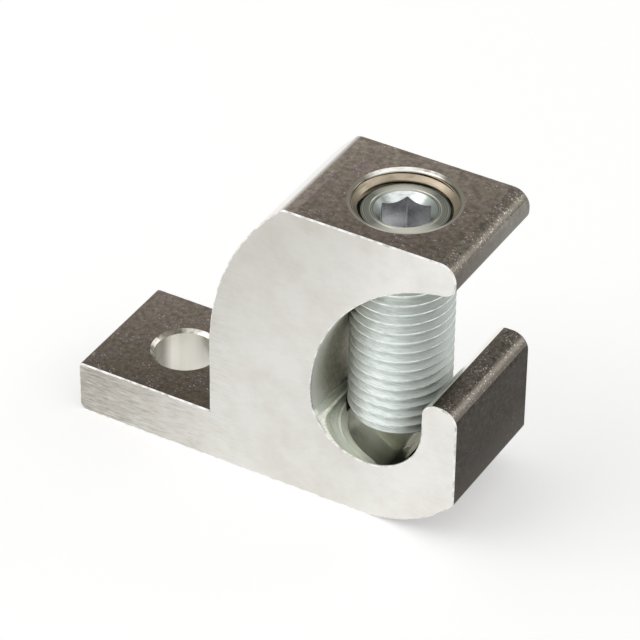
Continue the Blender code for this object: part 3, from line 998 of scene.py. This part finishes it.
@dataclass
class LugBody:
    """The body: a length sawn from an extrusion, drilled, tapped, deburred and tin plated."""

    width: float = 20.2 * MM
    foot_length: float = 20.75 * MM
    foot_thickness: float = 7.7 * MM
    foot_corner: float = 1.1 * MM
    foot_top_round: float = 0.5 * MM
    bolt_hole: float = 8.7 * MM
    bolt_hole_chamfer: float = 0.5 * MM
    bolt_hole_from_end: float = 10.8 * MM
    back_wall: float = 15.55 * MM
    saddle_radius: float = 8.25 * MM
    saddle_floor: float = 8.6 * MM
    lip_thickness: float = 5.1 * MM
    lip_rise: float = 4.8 * MM
    lip_inner_round: float = 2.0 * MM
    lip_outer_round: float = 2.4 * MM
    belly_radius: float = 18.0 * MM
    toe_height: float = 6.65 * MM
    toe_round: float = 1.0 * MM
    throat: float = 0.45 * MM
    arch_radius: float = 22.35 * MM
    plate_thickness: float = 4.65 * MM
    plate_setback: float = 0.9 * MM
    plate_top_round: float = 2.4 * MM
    plate_under_round: float = 2.0 * MM
    shoulder_radius: float = 34.6 * MM
    shoulder_drop: float = 25.2 * MM
    crest_round: float = 1.5 * MM
    crest_fade: float = 1.2 * MM
    shoulder_highlight_to: float = -2.5 * MM
    edge_break: float = 0.2 * MM
    edge_curve: float = 0.3
    edge_unevenness: float = 0.45
    edge_wave_mm: float = 1.6
    countersink: float = 15.2 * MM
    rim_width: float = 0.45 * MM
    rim_depth: float = 0.14 * MM
    tapping_drill: float = 12.4 * MM
    thread_slack: float = 0.05 * MM
    thread_below_top: float = 0.4 * MM
    step_overlap: float = 0.02 * MM
    relief_radius: float = 7.1 * MM
    relief_floor: float = 11.0 * MM
    relief_top: float = 30.0 * MM
    lip_face_turn: float = math.radians(22.0)
    lip_crown_turn: float = math.radians(18.0)
    plate_end_turn: float = math.radians(30.0)
    dull_saddle_turn: float = math.radians(22.0)
    drill_facets: int = 96
    screw_hole_facets: int = 120
    smooth_below_degrees: float = 12.0
    screw: SetScrew = field(default_factory=SetScrew)
    saddle_x: float = field(init=False)
    saddle_z: float = field(init=False)
    lip_inner_x: float = field(init=False)
    lip_outer_x: float = field(init=False)
    lip_top_z: float = field(init=False)
    arch_x: float = field(init=False)
    arch_z: float = field(init=False)
    plate_end_x: float = field(init=False)
    height: float = field(init=False)

    def __post_init__(self) -> None:
        """Works out the section's centres from its sizes, measured from the foot's end."""
        self.saddle_x = self.foot_length + self.back_wall + self.saddle_radius
        self.saddle_z = self.saddle_floor + self.saddle_radius
        self.lip_inner_x = self.saddle_x + self.saddle_radius
        self.lip_outer_x = self.lip_inner_x + self.lip_thickness
        self.lip_top_z = self.saddle_z + self.lip_rise
        self.arch_x = self.foot_length + self.back_wall + self.arch_radius
        self.arch_z = self.saddle_z + self.throat
        self.plate_end_x = self.lip_outer_x - self.plate_setback
        self.height = self.arch_z + self.arch_radius + self.plate_thickness

    def underside(self) -> list[Point]:
        """The foot's lower corner, the belly's long curve and the rounded toe.

        Returns:
            X, Z points from the foot's end to the lip's outer face.
        """
        corner = arc((self.foot_corner, self.foot_corner), self.foot_corner, math.pi, 1.5 * math.pi)
        reach = math.sqrt(self.belly_radius ** 2 - (self.belly_radius - self.toe_height) ** 2)
        belly = (self.lip_outer_x - reach, self.belly_radius)
        toe_x = self.lip_outer_x - self.toe_round
        inner = self.belly_radius - self.toe_round
        toe_z = belly[1] - math.sqrt(inner ** 2 - (toe_x - belly[0]) ** 2)
        meet = math.atan2(toe_z - belly[1], toe_x - belly[0])
        bend = arc(belly, self.belly_radius, -math.pi / 2, meet)
        return corner + bend + arc((toe_x, toe_z), self.toe_round, meet, 0.0)[1:]

    def lip(self) -> tuple[list[Point], list[Point]]:
        """The two rounds of the lip's top.

        Returns:
            The points over its outer face, and those over its inner face.
        """
        outer = (self.lip_outer_x - self.lip_outer_round, self.lip_top_z - self.lip_outer_round)
        inner = (self.lip_inner_x + self.lip_inner_round, self.lip_top_z - self.lip_inner_round)
        top = arc(outer, self.lip_outer_round, 0.0, math.pi / 2)
        return top, arc(inner, self.lip_inner_round, math.pi / 2, math.pi)

    def hollow(self) -> tuple[list[Point], list[Point], list[Point]]:
        """The open room for the wire.

        Returns:
            The points of the saddle, of the arch over it and of the round under the plate's end.
        """
        under_x = self.plate_end_x - self.plate_under_round
        reach = self.arch_radius + self.plate_under_round
        under_z = self.arch_z + math.sqrt(reach ** 2 - (self.arch_x - under_x) ** 2)
        meet = math.atan2(under_z - self.arch_z, under_x - self.arch_x)
        saddle = arc((self.saddle_x, self.saddle_z), self.saddle_radius, 0.0, -math.pi)
        arch = arc((self.arch_x, self.arch_z), self.arch_radius, math.pi, meet)
        under = arc((under_x, under_z), self.plate_under_round, meet - math.pi, 0.0)
        return saddle, arch, under[1:]

    def plate_end(self) -> list[Point]:
        """The round over the plate's outer end, up to its flat top."""
        centre = (self.plate_end_x - self.plate_top_round, self.height - self.plate_top_round)
        return arc(centre, self.plate_top_round, 0.0, math.pi / 2)

    def shoulder(self) -> list[Point]:
        """The softened crest at the back of the plate's top and the shoulder down to the foot.

        Returns:
            X, Z points from the plate's top to the foot.
        """
        centre = (self.foot_length + self.shoulder_radius, self.height - self.shoulder_drop)
        crest_z = self.height - self.crest_round
        reach = self.shoulder_radius - self.crest_round
        crest_x = centre[0] - math.sqrt(reach ** 2 - (crest_z - centre[1]) ** 2)
        meet = math.atan2(crest_z - centre[1], crest_x - centre[0])
        soft = arc((crest_x, crest_z), self.crest_round, math.pi / 2, meet)
        ahead = (crest_x + self.crest_fade, self.height)
        return [ahead] + soft + arc(centre, self.shoulder_radius, meet, math.pi)[1:]

    def foot(self) -> list[Point]:
        """The foot's top face and the small round over its end.

        Returns:
            X, Z points from the shoulder to the foot's end.
        """
        top_corner = (self.foot_top_round, self.foot_thickness - self.foot_top_round)
        foot_end = arc(top_corner, self.foot_top_round, math.pi / 2, math.pi, SMALL_ARC_STEP)
        return [(self.foot_length, self.foot_thickness)] + foot_end

    def outline(self) -> list[tuple[Point, Finish]]:
        """The whole section, with the finish of the face that starts at each point.

        Returns:
            X, Z points in the CAD's frame, anticlockwise, each with a finish.
        """
        lip_outside, lip_inside = self.lip()
        saddle, arch, under_end = self.hollow()
        underside, plate_end, shoulder = self.underside(), self.plate_end(), self.shoulder()
        crest_part = sum(x - self.lip_outer_x / 2 > self.shoulder_highlight_to for x, _ in shoulder)
        lip_ridge, lip_crown = steps_in(self.lip_face_turn), steps_in(self.lip_crown_turn)
        plate_ridge, dull_part = steps_in(self.plate_end_turn), steps_in(self.dull_saddle_turn)
        runs = [
            (underside[:-1], Finish.SKIN),
            (underside[-1:] + lip_outside[:lip_ridge], Finish.LIP_FACE),
            (lip_outside[lip_ridge:], Finish.LIP_RIDGE),
            (lip_inside[:lip_crown], Finish.SKIN),
            (lip_inside[lip_crown:], Finish.LIP_INSIDE),
            (saddle[:-dull_part], Finish.SADDLE),
            (saddle[-dull_part:] + arch, Finish.ARCH),
            (under_end + plate_end[:plate_ridge], Finish.PLATE_END),
            (plate_end[plate_ridge:-1], Finish.PLATE_RIDGE_GLINTS),
            (plate_end[-1:], Finish.SKIN),
            (shoulder[:crest_part], Finish.SHOULDER),
            (shoulder[crest_part:], Finish.BACK),
            (self.foot(), Finish.SKIN),
        ]
        shift = self.lip_outer_x / 2
        return [((x - shift, z), finish) for points, finish in runs for x, z in points]

    def inset(self, points: list[Point], distance: float) -> list[Point]:
        """Moves an outline inward, slightly unevenly, as a hand-filed edge is.

        Args:
            points: Closed anticlockwise outline.
            distance: How far each side moves on average.

        Returns:
            The inner outline, point for point.
        """
        moved = []
        count = len(points)
        for i, (x, z) in enumerate(points):
            before = Vector((x, z)) - Vector(points[i - 1])
            after = Vector(points[(i + 1) % count]) - Vector((x, z))
            first = Vector((before.y, -before.x)).normalized()
            second = Vector((after.y, -after.x)).normalized()
            miter = (first + second) / (1.0 + first.dot(second))
            wave = noise.noise(Vector((x, 0.0, z)) * per(self.edge_wave_mm))
            uneven = 1.0 + self.edge_unevenness * wave if distance else 0.0
            inner = Vector((x, z)) - miter * distance * uneven
            moved.append((inner.x, inner.y))
        return moved

    def extrusion(self) -> Piece:
        """Sawn length of the section, with its edges broken.

        Returns:
            The closed body before drilling.
        """
        outline = self.outline()
        slots = list(dict.fromkeys(finish for _, finish in outline))
        slots += [Finish.SAWN, Finish.DEBURRED]
        points = [point for point, _ in outline]
        half = self.width / 2
        middle = (self.edge_curve, half - self.edge_curve * self.edge_break)
        rings = [(1.0, half), middle, (0.0, half - self.edge_break)]
        levels = [(share, -y) for share, y in rings] + [(share, y) for share, y in reversed(rings)]
        work = bmesh.new()
        loops = []
        for share, y in levels:
            ring = self.inset(points, share * self.edge_break)
            loops.append([work.verts.new((x, y, z)) for x, z in ring])
        for level, (low, high) in enumerate(zip(loops, loops[1:])):
            edge_strip = level != len(rings) - 1
            for i, (_, finish) in enumerate(outline):
                j = (i + 1) % len(outline)
                face = work.faces.new((low[i], low[j], high[j], high[i]))
                face.material_index = slots.index(Finish.DEBURRED if edge_strip else finish)
        for cap in (loops[0], loops[-1]):
            face = work.faces.new(cap)
            face.material_index = slots.index(Finish.SAWN)
        return WORKSHOP.place(WORKSHOP.finished_mesh("sawn_lug_body", work, slots))

    def bolt_hole_tool(self) -> Piece:
        """Drill with the two chamfers of the bolt hole.

        Returns:
            The closed tool.
        """
        radius = self.bolt_hole / 2
        over = self.bolt_hole_chamfer + OVER
        above = self.foot_thickness + OVER
        lower = [(radius, self.bolt_hole_chamfer), (radius + over, -OVER), (0.0, -OVER)]
        runs = [
            (Finish.FILED, [(0.0, above), (radius + over, above)]),
            (Finish.BORED, [(radius, self.foot_thickness - self.bolt_hole_chamfer)]),
            (Finish.FILED, lower),
        ]
        axis_x = self.bolt_hole_from_end - self.lip_outer_x / 2
        return WORKSHOP.turned("bolt_hole_tool", runs, axis_x, self.drill_facets)

    def screw_hole_tool(self) -> Piece:
        """Rim, countersink, the step that clears the screw, tapping drill and relief in the saddle.

        Returns:
            The closed tool.
        """
        wide = self.countersink / 2
        drill = self.tapping_drill / 2
        rim = wide - self.rim_width
        rim_z = self.height - self.rim_depth
        slope = self.rim_width / self.rim_depth
        mouth = [(0.0, self.height + OVER), (wide + slope * OVER, self.height + OVER)]
        clear = self.screw.thread.diameter / 2 + self.thread_slack
        step_z = self.height - self.thread_below_top - self.step_overlap
        cone = [(rim, rim_z), (clear, rim_z - (rim - clear))]
        bore = [
            (clear, step_z),
            (rim - (rim_z - step_z), step_z),
            (drill, rim_z - (rim - drill)),
            (drill, self.relief_top),
            (self.relief_radius, self.relief_top - (self.relief_radius - drill)),
            (self.relief_radius, self.relief_floor),
            (0.0, self.relief_floor),
        ]
        runs = [(Finish.RIM, mouth), (Finish.DRILLED, cone), (Finish.TAPPED, bore)]
        return WORKSHOP.turned("screw_hole_tool", runs, self.screw.axis_x, self.screw_hole_facets)

    def tap(self) -> Piece:
        """Threaded tool that cuts the plate's thread and stops short of the countersink's rim.

        Returns:
            The closed tool.
        """
        low, high = self.relief_top - 2 * OVER, self.height - self.thread_below_top
        tap = self.screw.thread.rod(
            "tap", low, high, self.screw.axis_x, self.thread_slack, Finish.TAPPED, Finish.TAPPED,
        )
        wide = self.countersink / 2
        room = [(0.0, high), (wide, high), (wide, low), (0.0, low)]
        length = WORKSHOP.turned(
            "tap_length", [(Finish.TAPPED, room)], self.screw.axis_x, self.drill_facets,
        )
        WORKSHOP.combine(tap, length, "INTERSECT")
        return tap

    def build(self) -> Piece:
        """Saws, drills and taps the body and makes the piece ride on the clamp's body.

        Returns:
            The finished piece.
        """
        body = self.extrusion()
        for make_tool in (self.bolt_hole_tool, self.screw_hole_tool, self.tap):
            WORKSHOP.combine(body, make_tool(), "DIFFERENCE")
        WORKSHOP.smooth(body, self.smooth_below_degrees)
        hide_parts("lug_body")
        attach(body, "body")
        return body


@dataclass(frozen=True)
class Softbox:
    """A square area lamp that looks at the clamp: degrees, metres and watts."""

    name: str
    azimuth: float
    elevation: float
    distance: float
    size: float
    power: float

    def build(self, target: Vector) -> Piece:
        """Hangs the lamp.

        Args:
            target: The point that it looks at.

        Returns:
            The lamp.
        """
        lamp = bpy.data.lights.new(self.name, "AREA")
        lamp.shape = "SQUARE"
        lamp.size = self.size
        lamp.energy = self.power
        holder = bpy.data.objects.new(self.name, lamp)
        away = direction(self.azimuth, self.elevation)
        holder.location = target + away * self.distance
        holder.rotation_euler = away.to_track_quat("Z", "Y").to_euler()
        bpy.context.scene.collection.objects.link(holder)
        return holder


def direction(azimuth: float, elevation: float) -> Vector:
    """The way from the object to a viewer; azimuth 0 stands in front, both in degrees."""
    a, e = math.radians(azimuth), math.radians(elevation)
    return Vector((math.sin(a) * math.cos(e), -math.cos(a) * math.cos(e), math.sin(e)))


@dataclass
class Studio:
    """The plain floor, the soft light and the camera."""

    azimuth: float = 29.486
    elevation: float = 36.295
    roll: float = 0.863
    distance: float = 518.74 * MM
    focal_px: float = 3912.0
    image_px: int = 640
    sensor_mm: float = 36.0
    target: Vector = field(default_factory=lambda: Vector((3.08, -0.3, 20.86)) * MM)
    floor_radius: float = 4.0
    floor_drop: float = 0.02 * MM
    floor_colour: str = "#E6E6E5"
    floor_facets: int = 64
    near_clip: float = 10.0 * MM
    far_clip: float = 50.0
    world_level: float = 0.55
    floor_glow: float = 0.42
    lamps: tuple[Softbox, ...] = (
        Softbox("key_softbox", azimuth=-50.0, elevation=42.0, distance=0.7, size=0.6, power=1.45),
        Softbox("ridge_softbox", azimuth=140.0, elevation=23.0, distance=0.7, size=0.25, power=0.4),
    )

    def camera(self) -> Piece:
        """Sets the camera at the photograph's angle.

        Returns:
            The camera.
        """
        back = direction(self.azimuth, self.elevation)
        round_z = math.radians(self.azimuth)
        right = Vector((math.cos(round_z), math.sin(round_z), 0.0))
        up = back.cross(right)
        roll = math.radians(self.roll)
        across = right * math.cos(roll) + up * math.sin(roll)
        upward = up * math.cos(roll) - right * math.sin(roll)
        data = bpy.data.cameras.new("camera")
        data.sensor_width = self.sensor_mm
        data.lens = self.focal_px * self.sensor_mm / self.image_px
        data.clip_start = self.near_clip
        data.clip_end = self.far_clip
        camera = bpy.data.objects.new("camera", data)
        turn = Matrix((across, upward, back)).transposed().to_4x4()
        camera.matrix_world = Matrix.Translation(self.target + back * self.distance) @ turn
        bpy.context.scene.collection.objects.link(camera)
        bpy.context.scene.camera = camera
        return camera

    def seen(self, tree: Tree) -> Socket:
        """Tells the rays that see the white background from those that light the clamp.

        Args:
            tree: The nodes of the world or of the floor's material.

        Returns:
            One for camera, glossy and transmission rays, nought for the others.
        """
        path = add_node(tree, "ShaderNodeLightPath", {})
        rays = path.outputs["Is Camera Ray"]
        for kind in ("Is Glossy Ray", "Is Transmission Ray"):
            rays = add_node(
                tree, "ShaderNodeMath", {0: rays, 1: path.outputs[kind]}, operation="MAXIMUM",
            ).outputs[0]
        return rays

    def world(self) -> None:
        """Lights the scene evenly from all round and shows white where it is seen."""
        world = bpy.data.worlds.new("studio")
        bpy.context.scene.world = world
        world.use_nodes = True
        tree = world.node_tree
        background = tree.nodes["Background"]
        background.inputs["Color"].default_value = (1.0, 1.0, 1.0, 1.0)
        level = add_node(
            tree, "ShaderNodeMapRange",
            {"Value": self.seen(tree), "To Min": self.world_level, "To Max": 1.0},
        )
        tree.links.new(level.outputs["Result"], background.inputs["Strength"])

    def floor(self) -> Piece:
        """Lays the pale floor, which shows nearly white and keeps the shadow.

        Returns:
            The floor.
        """
        work = bmesh.new()
        bmesh.ops.create_circle(
            work, cap_ends=True, segments=self.floor_facets, radius=self.floor_radius,
        )
        mesh = bpy.data.meshes.new("floor")
        work.to_mesh(mesh)
        work.free()
        floor = WORKSHOP.place(mesh)
        floor.location.z = -self.floor_drop
        # Matt white paper: no gloss, so that only the clamp's soft shadow shows on it
        material = bpy.data.materials.new("white_paper_sweep")
        material.use_nodes = True
        tree = material.node_tree
        shader = tree.nodes["Principled BSDF"]
        shader.inputs["Base Color"].default_value = linear(self.floor_colour)
        shader.inputs["Roughness"].default_value = 0.9
        shader.inputs["Specular IOR Level"].default_value = 0.0
        glow = add_node(
            tree, "ShaderNodeMath", {0: self.seen(tree), 1: self.floor_glow}, operation="MULTIPLY",
        )
        shader.inputs["Emission Color"].default_value = (1.0, 1.0, 1.0, 1.0)
        tree.links.new(glow.outputs[0], shader.inputs["Emission Strength"])
        mesh.materials.append(material)
        return floor

    def build(self) -> None:
        """Sets up the camera, the lamps, the world and the floor."""
        bpy.context.scene.view_settings.view_transform = "Standard"
        self.camera()
        self.world()
        self.floor()
        for lamp in self.lamps:
            lamp.build(self.target)


def main() -> None:
    """Builds the studio and both pieces and reports each piece."""
    logging.basicConfig(level=logging.INFO, format="%(message)s")
    Studio().build()
    makers: tuple[Callable[[], Piece], ...] = (LugBody().build, SetScrew().build)
    for make in makers:
        piece = make()
        LOG.info("%s: %d faces", piece.name, len(piece.data.polygons))


if __name__ == "__main__":
    main()
